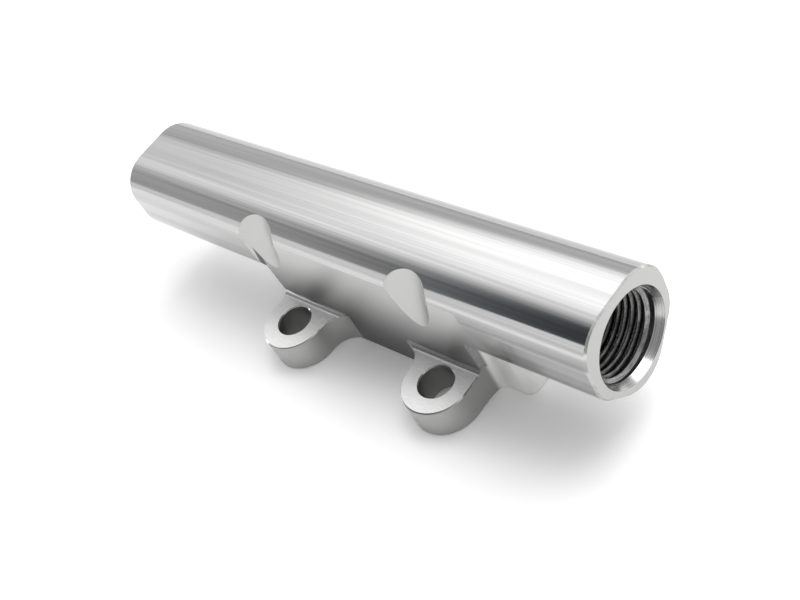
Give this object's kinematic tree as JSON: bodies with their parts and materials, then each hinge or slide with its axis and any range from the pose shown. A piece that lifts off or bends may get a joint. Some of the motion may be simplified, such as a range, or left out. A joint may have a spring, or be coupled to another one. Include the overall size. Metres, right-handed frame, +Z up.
{
  "type": "fuel rail",
  "caption": "Machined fuel rail: rounded square bar with a through gallery, threaded O-ring end ports, an underside injector pad and bolt ears on one side.",
  "frame": {"origin": "midway between the two ear bolt holes, on the mounting face", "axes": "+X along the rail, +Z up from the mounting face, ears on the -Y side"},
  "size_m": [0.14, 0.0383, 0.0354],
  "materials": {
    "machined_aluminium": "bright machined, fine lengthwise tool marks"
  },
  "bodies": {
    "root": {"rail_body": "machined_aluminium"}
  },
  "joints": []
}
